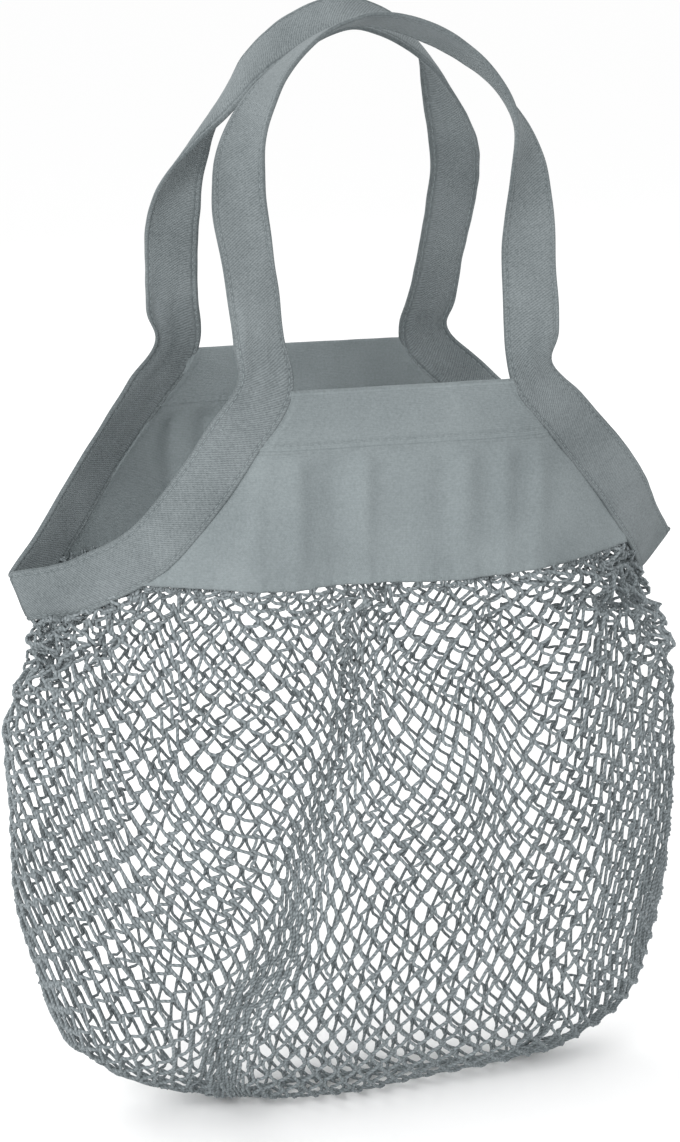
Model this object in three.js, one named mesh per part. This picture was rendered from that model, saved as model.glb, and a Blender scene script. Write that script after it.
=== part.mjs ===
import * as THREE from "three";

// String shopping bag, hanging open by its two tape handles.
// Millimetres, +Z up. X runs along the bag's mouth, the front is towards -Y, and the origin
// is under the top of the handles, where a hand or a hook holds the bag.

// Driving dimensions
const HANDLE_RISE = 162;
const LEG_SPACING = 130;
const ARCH_SPACING = 28;
const FRONT_ARCH_DIP = 4;
const BACK_ARCH_DIP = 2;
const ARCH_SHIFT = 5;
const BACK_SPREAD = 3;
const FRONT_TURN = 84;
const BACK_TURN = 106;
const TAPE_WIDTH = 25.5;
const TAPE_THICKNESS = 2.2;
const PANEL_HEIGHT = 90;
const PANEL_THICKNESS = 1.2;
const HEM_HEIGHT = 27;
const HEM_THICKNESS = 2;
const MOUTH_DEPTH = 142;
const MOUTH_ROUNDING = 30;
const CORNER_SPACING = 320;
const CORNER_DROP = 100;
const LEFT_LEAN = 0.4;
const RIGHT_LEAN = 0.8;
const FRONT_LEFT_SAG = 16;
const FRONT_RIGHT_FLARE = 1;
const NET_HEIGHT = 265;
const NET_WIDTH = 340;
const NET_DEPTH = 156;
const NET_THICKNESS = 2;
const GATHER_HEIGHT = 12;
const SEAM_GAP = 0.95;
const NET_GAP = 1.2;
const FOLD_GAP = 0.4;

// Roundness of the net's sections from above: 2 is an ellipse.
const NET_POWER = 2.3;

// Coarse cells of the net: columns all round, staggered rows, and the share of a cell left open.
const CELLS_AROUND = 14;
const CELL_ROWS = 8;
const CELL_OPEN = 0.78;

// Tape from the hem to the corner. out: share of the way sideways, down: share of the
// corner's drop, sag: share of that tape's sag.
const SLANT = [
  { out: 0, down: 0, sag: 0 },
  { out: 0.2, down: 0.2, sag: 0.35 },
  { out: 0.43, down: 0.42, sag: 0.8 },
  { out: 0.65, down: 0.64, sag: 1 },
  { out: 0.84, down: 0.84, sag: 0.7 },
  { out: 1, down: 1, sag: 0 },
];

// Half a handle from the hem to the top. rise: share of the handle's rise, side: share of
// half the leg spacing, lean: share of the way in to the other handle, twist: share of
// the turn from facing forwards to lying on top, shoulder: share of that half's shoulder.
const ARCH = [
  { rise: 0.13, side: 1.01, lean: 0.1, twist: -0.12, shoulder: 0 },
  { rise: 0.28, side: 1.03, lean: 0.22, twist: -0.12, shoulder: 0 },
  { rise: 0.41, side: 1.05, lean: 0.34, twist: -0.04, shoulder: 0.1 },
  { rise: 0.52, side: 1.06, lean: 0.44, twist: 0.16, shoulder: 0.3 },
  { rise: 0.62, side: 1.03, lean: 0.54, twist: 0.42, shoulder: 0.6 },
  { rise: 0.7, side: 0.98, lean: 0.63, twist: 0.64, shoulder: 0.85 },
  { rise: 0.77, side: 0.9, lean: 0.71, twist: 0.8, shoulder: 1 },
  { rise: 0.84, side: 0.78, lean: 0.8, twist: 0.9, shoulder: 1 },
  { rise: 0.9, side: 0.62, lean: 0.88, twist: 0.96, shoulder: 0.9 },
  { rise: 0.95, side: 0.43, lean: 0.94, twist: 1, shoulder: 0.65 },
  { rise: 0.985, side: 0.22, lean: 0.98, twist: 1, shoulder: 0.35 },
  { rise: 1, side: 0, lean: 1, twist: 1, shoulder: 0 },
];

// The four half handles. side: -1 front or 1 back, hand: -1 left or 1 right, shoulder: how far
// the upper bend stands further out, lag: how late the tape turns over, 1 being the earliest.
const HALVES = [
  { side: -1, hand: -1, shoulder: -1, lag: 1 },
  { side: -1, hand: 1, shoulder: 3, lag: 1 },
  { side: 1, hand: -1, shoulder: -7, lag: 1 },
  { side: 1, hand: 1, shoulder: -5, lag: 1.8 },
];

// Sections of the net. down: share of its height, left and right: shares of half its width,
// depth: share of its depth.
const SECTIONS = [
  { down: 0, left: 0.86, right: 0.9, depth: 0.9 },
  { down: 0.085, left: 0.9, right: 0.955, depth: 0.94 },
  { down: 0.18, left: 0.95, right: 0.98, depth: 0.98 },
  { down: 0.29, left: 0.995, right: 0.985, depth: 1 },
  { down: 0.405, left: 0.99, right: 1, depth: 1 },
  { down: 0.52, left: 0.98, right: 0.99, depth: 0.97 },
  { down: 0.61, left: 0.97, right: 0.975, depth: 0.93 },
  { down: 0.705, left: 0.935, right: 0.96, depth: 0.87 },
  { down: 0.8, left: 0.888, right: 0.935, depth: 0.79 },
  { down: 0.875, left: 0.818, right: 0.903, depth: 0.68 },
  { down: 0.93, left: 0.712, right: 0.835, depth: 0.56 },
  { down: 0.97, left: 0.588, right: 0.747, depth: 0.43 },
  { down: 0.992, left: 0.482, right: 0.67, depth: 0.32 },
  { down: 1, left: 0.36, right: 0.53, depth: 0.22 },
];
// Share of the net's height over which the mouth's pointed shape turns into those sections.
const LEFT_MOUTH_SHARE = 0.26;
const RIGHT_MOUTH_SHARE = 0.21;

// Folds that run down the net. side: -1 front or 1 back, across: share of the half width at
// the top, drift: change of that share at the bottom, from and to: shares of the height,
// width: share of the half width, depth: share of half the net's depth, inwards.
const FOLDS = [
  { side: -1, across: -0.2, drift: -0.26, from: 0, to: 0.85, width: 0.12, depth: 0.12 },
  { side: -1, across: 0.3, drift: 0.04, from: 0, to: 0.6, width: 0.1, depth: 0.07 },
  { side: -1, across: -0.66, drift: 0.1, from: 0.02, to: 0.5, width: 0.1, depth: 0.12 },
  { side: -1, across: 0.72, drift: -0.04, from: 0.05, to: 0.7, width: 0.1, depth: 0.09 },
  { side: 1, across: 0.15, drift: 0.1, from: 0, to: 0.7, width: 0.13, depth: 0.1 },
  { side: 1, across: -0.5, drift: -0.06, from: 0, to: 0.6, width: 0.12, depth: 0.08 },
];

// Soft folds of the cloth panels under the hem. across: share of the half width, width:
// share of it, depth: share of the panel's height, outwards.
const PANEL_FOLDS = [
  { across: -0.72, width: 0.16, depth: -0.016 },
  { across: -0.3, width: 0.2, depth: 0.022 },
  { across: 0.12, width: 0.18, depth: -0.014 },
  { across: 0.5, width: 0.16, depth: 0.02 },
];

const hemZ = -HANDLE_RISE;
const panelLowZ = hemZ - PANEL_HEIGHT;
const cornerZ = hemZ - CORNER_DROP;
const legX = LEG_SPACING / 2;
const cornerX = CORNER_SPACING / 2;

const { clamp, lerp, smoothstep } = THREE.MathUtils;

// Reads a column of a table at a place on its first column, with straight lines between rows.
function readTable(table, column, place) {
  const key = Object.keys(table[0])[0];
  const last = table.findIndex((row) => row[key] >= place);
  if (last < 0) {
    return table[table.length - 1][column];
  }
  if (last === 0) {
    return table[0][column];
  }
  const [a, b] = [table[last - 1], table[last]];
  return lerp(a[column], b[column], (place - a[key]) / (b[key] - a[key]));
}

// Sideways lean of the crease at the left or right corner, for each millimetre up.
function creaseLean(x) {
  return x < 0 ? LEFT_LEAN : RIGHT_LEAN;
}

// The mouth's cloth, seen from above, is straight along the hem, turns with a soft bend and
// goes straight to the crease of the side corner, where front and back meet.
function clothPoint(side, x, z) {
  const creaseX = cornerX + creaseLean(x) * Math.min(z - cornerZ, TAPE_WIDTH / 2);
  const bend = (length) => Math.hypot(Math.max(length, 0), MOUTH_ROUNDING) - MOUTH_ROUNDING;
  const straight = legX - TAPE_WIDTH / 2;
  const closed = Math.min(bend(Math.abs(x) - straight) / bend(creaseX - straight), 1);
  const seat = (TAPE_THICKNESS + FOLD_GAP) / 2;
  return new THREE.Vector3(x, side * lerp(MOUTH_DEPTH / 2, seat, closed), z);
}

// A closed wall made from its middle surface: every point moves half the wall out and half
// the wall in, and every open edge is closed by a narrow strip.
function wall(points, triangles, thickness) {
  const normals = points.map(() => new THREE.Vector3());
  for (const [a, b, c] of triangles) {
    const ab = points[b].clone().sub(points[a]);
    const face = ab.cross(points[c].clone().sub(points[a]));
    for (const corner of [a, b, c]) {
      normals[corner].add(face);
    }
  }
  const count = points.length;
  const position = new Float32Array(count * 6);
  points.forEach((point, i) => {
    const step = normals[i].normalize().multiplyScalar(thickness(point) / 2);
    point.clone().add(step).toArray(position, i * 3);
    point.clone().sub(step).toArray(position, (count + i) * 3);
  });
  const edges = new Set();
  const index = [];
  for (const [a, b, c] of triangles) {
    index.push(a, b, c, count + a, count + c, count + b);
    edges.add(`${a} ${b}`).add(`${b} ${c}`).add(`${c} ${a}`);
  }
  for (const edge of edges) {
    const [a, b] = edge.split(" ").map(Number);
    if (!edges.has(`${b} ${a}`)) {
      index.push(b, a, count + a, b, count + a, count + b);
    }
  }
  const geometry = new THREE.BufferGeometry();
  geometry.setAttribute("position", new THREE.BufferAttribute(position, 3));
  geometry.setIndex(index);
  geometry.computeVertexNormals();
  return geometry;
}

// Triangles of a grid of points, given as rows of equal length.
function gridTriangles(rows, columns) {
  const triangles = [];
  for (let j = 0; j < rows - 1; j++) {
    for (let i = 0; i < columns - 1; i++) {
      const a = j * columns + i;
      triangles.push([a, a + 1, a + columns + 1], [a, a + columns + 1, a + columns]);
    }
  }
  return triangles;
}

// Points spaced evenly along a line of points, ends included.
function evenly(points, steps) {
  const lengths = [0];
  for (let i = 1; i < points.length; i++) {
    lengths.push(lengths[i - 1] + points[i].distanceTo(points[i - 1]));
  }
  const out = [];
  let i = 1;
  for (let k = 0; k <= steps; k++) {
    const at = (lengths[lengths.length - 1] * k) / steps;
    while (i < points.length - 1 && lengths[i] < at) {
      i++;
    }
    const share = (at - lengths[i - 1]) / (lengths[i] - lengths[i - 1]);
    out.push(points[i - 1].clone().lerp(points[i], share));
  }
  return out;
}

// Handle tape

const STEPS_BETWEEN_ROWS = 2;

// Middle line of the slanted tape in the cloth's flat width and height, one row of SLANT each.
function slantLine(side, hand) {
  const sag = side < 0 && hand < 0 ? FRONT_LEFT_SAG : 0;
  const run = new THREE.Vector2(cornerX - legX, -CORNER_DROP);
  const inward = new THREE.Vector2(run.y, -run.x).normalize();
  return SLANT.map((row) => new THREE.Vector2(
    hand * (legX + row.out * run.x + row.sag * sag * inward.x),
    hemZ + row.down * run.y + row.sag * sag * inward.y,
  ));
}

// Middle and across direction of the slanted tape, on the cloth, from the hem to the corner.
function slantFrames(side, hand) {
  const line = slantLine(side, hand);
  const crease = new THREE.Vector2(hand * creaseLean(hand), 1).normalize();
  return line.map((place, i) => {
    const before = i ? line[i - 1] : new THREE.Vector2(hand * legX, hemZ + CORNER_DROP / 5);
    const after = line[Math.min(i + 1, line.length - 1)];
    const along = after.clone().sub(before);
    const across = new THREE.Vector2(-hand * along.y, hand * along.x).normalize();
    across.lerp(crease, smoothstep(i, line.length - 3, line.length - 1)).normalize();
    const outer = clothPoint(side, place.x + across.x, place.y + across.y);
    const inner = clothPoint(side, place.x - across.x, place.y - across.y);
    const direction = outer.sub(inner).normalize();
    if (side < 0 && hand > 0) {
      direction.y *= 1 - FRONT_RIGHT_FLARE * Math.sin(Math.PI * SLANT[i].out);
      direction.normalize();
    }
    // The tape leaves its sewn edge, which lies on the cloth, in that direction.
    const half = TAPE_WIDTH / 2;
    const sewn = clothPoint(side, place.x - half * across.x, place.y - half * across.y);
    return { middle: sewn.addScaledVector(direction, half), across: direction };
  });
}

// Middle and across direction of half a handle, from above the hem to the top of the arch.
function archFrames(side, hand) {
  const hemY = Math.abs(clothPoint(side, legX, hemZ).y);
  const topY = ARCH_SPACING / 2;
  const spread = side < 0 ? 0 : BACK_SPREAD;
  const topZ = HANDLE_RISE + TAPE_THICKNESS / 2 - (side < 0 ? FRONT_ARCH_DIP : BACK_ARCH_DIP);
  const quarterTurn = THREE.MathUtils.degToRad(side < 0 ? FRONT_TURN : BACK_TURN);
  const half = HALVES.find((row) => row.side === side && row.hand === hand);
  const middles = [clothPoint(side, hand * legX, hemZ)];
  for (const row of ARCH) {
    middles.push(new THREE.Vector3(
      hand * (row.side * legX + spread * Math.sin(Math.PI * row.rise) + row.shoulder * half.shoulder)
        + ARCH_SHIFT * smoothstep(row.rise, 0.5, 0.85),
      side * lerp(hemY, topY, row.lean),
      hemZ + row.rise * topZ,
    ));
  }
  const face = new THREE.Vector3(0, side * topZ, hemY - topY).normalize();
  return ARCH.map((row, i) => {
    const middle = middles[i + 1];
    const mirrored = middles[i].clone().setX(2 * middle.x - middles[i].x);
    const next = middles[i + 2] ?? mirrored;
    const along = next.clone().sub(middles[i]).normalize();
    const out = along.clone().cross(face).multiplyScalar(-side * hand).normalize();
    const turn = Math.sign(row.twist) * Math.pow(Math.abs(row.twist), half.lag) * quarterTurn;
    const normal = face.clone().multiplyScalar(Math.cos(turn));
    normal.addScaledVector(out, Math.sin(turn));
    const across = normal.cross(along).multiplyScalar(side * hand).normalize();
    return { middle, across };
  });
}

// All frames of a handle from its left corner over the top to its right corner.
function handleFrames(side) {
  const halves = [-1, 1].map((hand) => [
    ...slantFrames(side, hand).reverse(),
    ...archFrames(side, hand),
  ]);
  const keys = [...halves[0], ...halves[1].slice(0, -1).reverse()];
  const middleLine = new THREE.CatmullRomCurve3(keys.map((key) => key.middle), false);
  const acrossLine = new THREE.CatmullRomCurve3(keys.map((key) => key.across), false);
  const steps = (keys.length - 1) * STEPS_BETWEEN_ROWS;
  const frames = [];
  for (let i = 0; i <= steps; i++) {
    frames.push({
      middle: middleLine.getPoint(i / steps),
      across: acrossLine.getPoint(i / steps).normalize(),
    });
  }
  return frames;
}

// Edge of the tape: -1 is the edge towards the panel, 1 the free edge.
function tapeEdge(frame, edge) {
  return frame.middle.clone().addScaledVector(frame.across, (edge * TAPE_WIDTH) / 2);
}

const slantSteps = (SLANT.length - 1) * STEPS_BETWEEN_ROWS;

// The edge that the panel and the net are sewn to, from the corner to just above the hem.
function sewnEdge(side, hand) {
  const frames = handles[side].slice();
  if (hand > 0) {
    frames.reverse();
  }
  return frames.slice(0, slantSteps + 3).map((frame) => tapeEdge(frame, -1));
}

const handles = { [-1]: handleFrames(-1), 1: handleFrames(1) };

function handleGeometry(side) {
  const frames = handles[side].slice();
  if (side > 0) {
    frames.reverse();
  }
  const points = [1, 0, -1].flatMap((edge) => frames.map((frame) => tapeEdge(frame, edge)));
  return wall(points, gridTriangles(3, frames.length).map((t) => t.reverse()), () => TAPE_THICKNESS);
}

// Cloth panel with its hem

const PANEL_COLUMNS = 16;
const PANEL_ROWS = 8;
const HEM_ROWS = 6;
// Height over which the folded hem thins to the single cloth.
const HEM_STEP = 0.8;

// Sideways place of the sewn edge at a height.
function sewnX(edge, z) {
  for (let i = 1; i < edge.length; i++) {
    if (edge[i].z >= z) {
      return lerp(edge[i - 1].x, edge[i].x, (z - edge[i - 1].z) / (edge[i].z - edge[i - 1].z));
    }
  }
  return edge[edge.length - 1].x;
}

function panelGeometry(side) {
  const ends = [-1, 1].map((hand) => sewnEdge(side, hand));
  const heights = [];
  for (let j = 0; j < HEM_ROWS; j++) {
    heights.push(hemZ - (HEM_HEIGHT * j) / HEM_ROWS);
  }
  heights.push(hemZ - HEM_HEIGHT + HEM_STEP, hemZ - HEM_HEIGHT);
  for (let j = 1; j <= PANEL_ROWS; j++) {
    heights.push(lerp(hemZ - HEM_HEIGHT, panelLowZ, j / PANEL_ROWS));
  }
  const points = heights.flatMap((z) => {
    const left = sewnX(ends[0], z) + SEAM_GAP;
    const right = sewnX(ends[1], z) - SEAM_GAP;
    const [from, to] = side < 0 ? [right, left] : [left, right];
    return Array.from({ length: PANEL_COLUMNS + 1 }, (_, i) => {
      const share = i / PANEL_COLUMNS;
      const point = clothPoint(side, lerp(from, to, share), z);
      const belowHem = smoothstep(hemZ - z, HEM_HEIGHT, PANEL_HEIGHT);
      const free = Math.sin(Math.PI * share) * belowHem;
      for (const fold of PANEL_FOLDS) {
        const away = (2 * share - 1 - side * fold.across) / fold.width;
        point.y += side * free * fold.depth * PANEL_HEIGHT * Math.exp(-away * away);
      }
      return point;
    });
  });
  const triangles = gridTriangles(heights.length, PANEL_COLUMNS + 1);
  return wall(points, triangles, (point) => (
    point.z > hemZ - HEM_HEIGHT ? HEM_THICKNESS : PANEL_THICKNESS
  ));
}

// Net

const QUARTERS = CELLS_AROUND * 4;
const netTopZ = panelLowZ - NET_GAP;

// Top edge of the net on one side, from the right corner to the left one: below the tape,
// along the panel's lower edge and below the other tape.
function rimLine(side) {
  const [left, right] = [-1, 1].map((hand) => sewnEdge(side, hand));
  const below = (edge) => edge.filter((point) => point.z < panelLowZ);
  const panel = [];
  for (let i = 0; i <= QUARTERS; i++) {
    const x = lerp(sewnX(right, panelLowZ), sewnX(left, panelLowZ), i / QUARTERS);
    panel.push(clothPoint(side, x, panelLowZ));
  }
  const line = [...below(right), ...panel, ...below(left).reverse()];
  line.forEach((point) => {
    point.z -= NET_GAP;
  });
  return evenly(line, QUARTERS / 2);
}

const rim = [...rimLine(-1).slice(0, -1), ...rimLine(1).reverse().slice(0, -1)];

// A level section of the net, from the right corner along the front to the left corner and
// back along the back.
function sectionLoop(down) {
  const halfDepth = (readTable(SECTIONS, "depth", down) * NET_DEPTH) / 2;
  const left = (readTable(SECTIONS, "left", down) * NET_WIDTH) / 2;
  const right = (readTable(SECTIONS, "right", down) * NET_WIDTH) / 2;
  const fine = QUARTERS * 4;
  const loop = [-1, 1].flatMap((side) => {
    const line = [];
    for (let i = 0; i <= fine; i++) {
      const angle = (Math.PI * i) / fine;
      const [c, s] = [Math.cos(angle), Math.sin(angle)];
      const halfWidth = c < 0 ? left : right;
      line.push(new THREE.Vector3(
        Math.sign(c) * halfWidth * Math.pow(Math.abs(c), 2 / NET_POWER),
        side * halfDepth * Math.pow(Math.abs(s), 2 / NET_POWER),
        netTopZ - down * NET_HEIGHT,
      ));
    }
    const even = evenly(line, QUARTERS / 2);
    return side < 0 ? even.slice(0, -1) : even.reverse().slice(0, -1);
  });
  return loop.map((point, i) => {
    const mouth = rim[i].clone();
    mouth.z -= down * NET_HEIGHT;
    const towardsRight = smoothstep(point.x, -cornerX, cornerX);
    const mouthShare = lerp(LEFT_MOUTH_SHARE, RIGHT_MOUTH_SHARE, towardsRight);
    const place = mouth.lerp(point, smoothstep(down, 0, mouthShare));
    const half = place.x < 0 ? left : right;
    for (const fold of FOLDS) {
      const centre = (fold.across + fold.drift * down) * half;
      const away = (place.x - centre) / (fold.width * half);
      const fadeIn = smoothstep(down, fold.from, fold.from + 0.12);
      const fadeOut = 1 - smoothstep(down, fold.to - 0.2, fold.to);
      if (Math.sign(place.y) === fold.side) {
        const inwards = fold.depth * halfDepth * fadeIn * fadeOut * Math.exp(-away * away);
        place.y -= fold.side * inwards;
      }
    }
    return place;
  });
}

// Shares of the height that divide the net's wall evenly between the gathers and the bottom.
function evenDowns(steps) {
  const line = [];
  for (let i = 0; i <= QUARTERS; i++) {
    const down = lerp(GATHER_HEIGHT / NET_HEIGHT, 1, i / QUARTERS);
    const halfWidth = (readTable(SECTIONS, "left", down) * NET_WIDTH) / 2;
    const halfDepth = (readTable(SECTIONS, "depth", down) * NET_DEPTH) / 2;
    line.push(new THREE.Vector3(halfWidth, halfDepth, down * NET_HEIGHT * 2));
  }
  return evenly(line, steps).map((point) => point.z / (NET_HEIGHT * 2));
}

function netGeometry() {
  const levels = (CELL_ROWS + 1) * 2;
  const loops = evenDowns(levels).map(sectionLoop);
  const points = [];
  const triangles = [];
  const add = (point) => points.push(point) - 1;
  // A place between the corners of the cells, for the edge of a gap.
  const between = (a, b) => {
    const [a0, b0] = [Math.floor(a), clamp(Math.floor(b), 0, levels - 1)];
    const at = (i, j) => loops[j][((i % QUARTERS) + QUARTERS) % QUARTERS];
    const upper = at(a0, b0).clone().lerp(at(a0 + 1, b0), a - a0);
    const lower = at(a0, b0 + 1).clone().lerp(at(a0 + 1, b0 + 1), a - a0);
    return upper.lerp(lower, b - b0);
  };
  const corners = loops.map((loop) => loop.map((point) => ({ point, id: -1 })));
  const corner = (a, b) => {
    const entry = corners[b][((a % QUARTERS) + QUARTERS) % QUARTERS];
    if (entry.id < 0) {
      entry.id = add(entry.point);
    }
    return entry.id;
  };
  const around = [[2, 0], [1, 1], [0, 2], [-1, 1], [-2, 0], [-1, -1], [0, -2], [1, -1]];
  for (let row = 0; row < CELL_ROWS; row++) {
    for (let column = 0; column < CELLS_AROUND; column++) {
      const a = column * 4 + (row % 2) * 2;
      const b = 2 + row * 2;
      const outer = around.map(([x, y]) => corner(a + x, b + y));
      const inner = around.map(([x, y]) => add(between(a + x * CELL_OPEN, b + y * CELL_OPEN)));
      for (let k = 0; k < 8; k++) {
        const next = (k + 1) % 8;
        triangles.push([outer[k], outer[next], inner[next]], [outer[k], inner[next], inner[k]]);
      }
    }
  }
  // Half cells under the gathers and above the bottom, left solid.
  const bottomShift = (CELL_ROWS % 2) * 2;
  for (let column = 0; column < CELLS_AROUND; column++) {
    const a = column * 4;
    const top = [[1, 1], [2, 2], [3, 1], [4, 0], [3, 0], [2, 0], [1, 0], [0, 0]];
    const high = top.map(([x, y]) => corner(a + x, y));
    const low = top.map(([x, y]) => corner(a + 2 - bottomShift + x, levels - y)).reverse();
    for (const [p, q, r] of [[5, 0, 6], [6, 0, 7], [5, 1, 0], [5, 2, 1], [5, 4, 2], [4, 3, 2]]) {
      triangles.push([high[p], high[r], high[q]].reverse());
      triangles.push([low[7 - p], low[7 - r], low[7 - q]]);
    }
  }
  // Gathered band up to the top edge.
  const rimIds = rim.map((point) => add(point.clone()));
  for (let a = 0; a < QUARTERS; a++) {
    const next = (a + 1) % QUARTERS;
    triangles.push([rimIds[a], rimIds[next], corner(next, 0)]);
    triangles.push([rimIds[a], corner(next, 0), corner(a, 0)]);
  }
  // Flat bottom, drawn in to a short line.
  const bottom = loops[levels];
  const middle = bottom.reduce((sum, point) => sum.add(point), new THREE.Vector3());
  middle.divideScalar(QUARTERS);
  const middleId = add(middle);
  for (let a = 0; a < QUARTERS; a++) {
    triangles.push([corner(a, levels), corner(a + 1, levels), middleId]);
  }
  return wall(points, triangles, () => NET_THICKNESS);
}

// Materials and pieces

const colours = { panel: 0x96a0a3, tape: 0x8a9497, net: 0x7d8788 };

function piece(name, geometry, colour, roughness) {
  const material = new THREE.MeshStandardMaterial({ color: colour, roughness, metalness: 0 });
  const mesh = new THREE.Mesh(geometry, material);
  mesh.name = name;
  return mesh;
}

const bag = new THREE.Group();
bag.add(piece("front_panel", panelGeometry(-1), colours.panel, 0.95));
bag.add(piece("back_panel", panelGeometry(1), colours.panel, 0.95));
bag.add(piece("front_handle", handleGeometry(-1), colours.tape, 0.9));
bag.add(piece("back_handle", handleGeometry(1), colours.tape, 0.9));
bag.add(piece("net_bag", netGeometry(), colours.net, 0.95));

export default bag;
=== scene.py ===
from types import SimpleNamespace

import bpy
import numpy as np
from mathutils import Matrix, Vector


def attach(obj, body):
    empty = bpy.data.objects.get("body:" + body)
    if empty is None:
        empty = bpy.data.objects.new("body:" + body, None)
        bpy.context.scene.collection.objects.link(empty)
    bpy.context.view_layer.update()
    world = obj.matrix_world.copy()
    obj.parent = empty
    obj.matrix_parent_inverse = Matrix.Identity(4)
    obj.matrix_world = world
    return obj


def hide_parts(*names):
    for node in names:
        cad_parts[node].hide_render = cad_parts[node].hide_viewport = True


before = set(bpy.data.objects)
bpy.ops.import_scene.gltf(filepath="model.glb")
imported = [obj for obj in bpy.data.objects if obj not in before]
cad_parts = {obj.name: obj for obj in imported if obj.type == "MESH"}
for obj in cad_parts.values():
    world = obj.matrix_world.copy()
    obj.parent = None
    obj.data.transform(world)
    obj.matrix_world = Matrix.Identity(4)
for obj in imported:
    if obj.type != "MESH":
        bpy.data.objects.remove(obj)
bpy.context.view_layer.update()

# Handle tapes. Each handle is one cotton twill tape, folded double and stitched along both edges.
# It binds the slanted edges of the bag's mouth and rises as a loop, turning over on the way up so
# that it lies flat in the hand. Front and back tape meet in a fold at the side corners.

# Lengths are millimetres until a mesh is made, with the part's own driving dimensions.
MM = 0.001
HANDLE_RISE = 162
LEG_SPACING = 130
ARCH_SPACING = 28
FRONT_ARCH_DIP = 4
BACK_ARCH_DIP = 2
ARCH_SHIFT = 5
BACK_SPREAD = 3
FRONT_TURN = 84
BACK_TURN = 106
TAPE_WIDTH = 25.5
TAPE_THICKNESS = 2.2
HEM_HEIGHT = 27
MOUTH_DEPTH = 142
MOUTH_ROUNDING = 30
CORNER_SPACING = 320
CORNER_DROP = 100
LEFT_LEAN = 0.4
RIGHT_LEAN = 0.8
FRONT_LEFT_SAG = 16
FRONT_RIGHT_FLARE = 1
FOLD_GAP = 0.4
FOLD_SEAT = (TAPE_THICKNESS + FOLD_GAP) / 2

HEM_Z = -HANDLE_RISE
CORNER_Z = HEM_Z - CORNER_DROP
LEG_X = LEG_SPACING / 2
CORNER_X = CORNER_SPACING / 2
HALF_TAPE = TAPE_WIDTH / 2


def table(names, *rows):
    """A short table with named columns."""
    return np.rec.fromrecords(list(rows), dtype=[(name, float) for name in names.split()])


# Tape from the hem to the corner, as shares of the way out, of the drop and of its sag.
SLANT = table(
    "out down sag",
    (0, 0, 0),
    (0.2, 0.2, 0.35),
    (0.43, 0.42, 0.8),
    (0.65, 0.64, 1),
    (0.84, 0.84, 0.7),
    (1, 1, 0),
)
# Half a handle from the hem to the top, as shares of its rise, of half the leg spacing, of the
# way in to the other handle, of the turn and of that half's shoulder.
ARCH = table(
    "rise side lean twist shoulder",
    (0.13, 1.01, 0.1, -0.12, 0),
    (0.28, 1.03, 0.22, -0.12, 0),
    (0.41, 1.05, 0.34, -0.04, 0.1),
    (0.52, 1.06, 0.44, 0.16, 0.3),
    (0.62, 1.03, 0.54, 0.42, 0.6),
    (0.7, 0.98, 0.63, 0.64, 0.85),
    (0.77, 0.9, 0.71, 0.8, 1),
    (0.84, 0.78, 0.8, 0.9, 1),
    (0.9, 0.62, 0.88, 0.96, 0.9),
    (0.95, 0.43, 0.94, 1, 0.65),
    (0.985, 0.22, 0.98, 1, 0.35),
    (1, 0, 1, 1, 0),
)
# The four half handles: how far the upper bend stands out, and how late the tape turns over.
HALVES = table("side hand shoulder lag", (-1, -1, -1, 1), (-1, 1, 3, 1), (1, -1, -7, 1), (1, 1, -5, 1.8))


def unit(vectors):
    return vectors / np.maximum(np.linalg.norm(vectors, axis=-1, keepdims=True), 1e-9)


def smoothstep(x, start, end):
    t = np.clip((x - start) / (end - start), 0, 1)
    return t * t * (3 - 2 * t)


def cloth_point(side, x, z):
    """The mouth's cloth: straight along the hem, a soft bend, then straight to the corner crease."""
    x, z = np.broadcast_arrays(np.asarray(x, float), np.asarray(z, float))
    lean = np.where(x < 0, LEFT_LEAN, RIGHT_LEAN)
    crease_x = CORNER_X + lean * np.minimum(z - CORNER_Z, HALF_TAPE)
    straight = LEG_X - HALF_TAPE
    bend = np.hypot(np.maximum(abs(x) - straight, 0), MOUTH_ROUNDING) - MOUTH_ROUNDING
    whole_bend = np.hypot(crease_x - straight, MOUTH_ROUNDING) - MOUTH_ROUNDING
    closed = np.minimum(bend / whole_bend, 1)
    return np.stack([x, side * (MOUTH_DEPTH / 2 + (FOLD_SEAT - MOUTH_DEPTH / 2) * closed), z], -1)


def slant_frames(side, hand):
    """Middle and across direction of the slanted tape, from the hem to the corner."""
    sag = FRONT_LEFT_SAG if side < 0 and hand < 0 else 0
    run = np.array([CORNER_X - LEG_X, -CORNER_DROP])
    inward = np.array([run[1], -run[0]]) / np.hypot(*run)
    line = np.stack([
        hand * (LEG_X + SLANT.out * run[0] + SLANT.sag * sag * inward[0]),
        HEM_Z + SLANT.down * run[1] + SLANT.sag * sag * inward[1],
    ], -1)
    above = np.array([hand * LEG_X, HEM_Z + CORNER_DROP / 5])
    along = np.vstack([line[1:], line[-1:]]) - np.vstack([above, line[:-1]])
    across = unit(np.stack([-hand * along[:, 1], hand * along[:, 0]], -1))
    crease = unit(np.array([hand * (LEFT_LEAN if hand < 0 else RIGHT_LEAN), 1.0]))
    towards_crease = smoothstep(np.arange(len(line)), len(line) - 3, len(line) - 1)[:, None]
    across = unit(across + (crease - across) * towards_crease)
    outer = cloth_point(side, *(line + across).T)
    inner = cloth_point(side, *(line - across).T)
    direction = unit(outer - inner)
    if side < 0 < hand:
        direction[:, 1] *= 1 - FRONT_RIGHT_FLARE * np.sin(np.pi * SLANT.out)
        direction = unit(direction)
    sewn = cloth_point(side, *(line - across * HALF_TAPE).T)
    return sewn + direction * HALF_TAPE, direction


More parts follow.
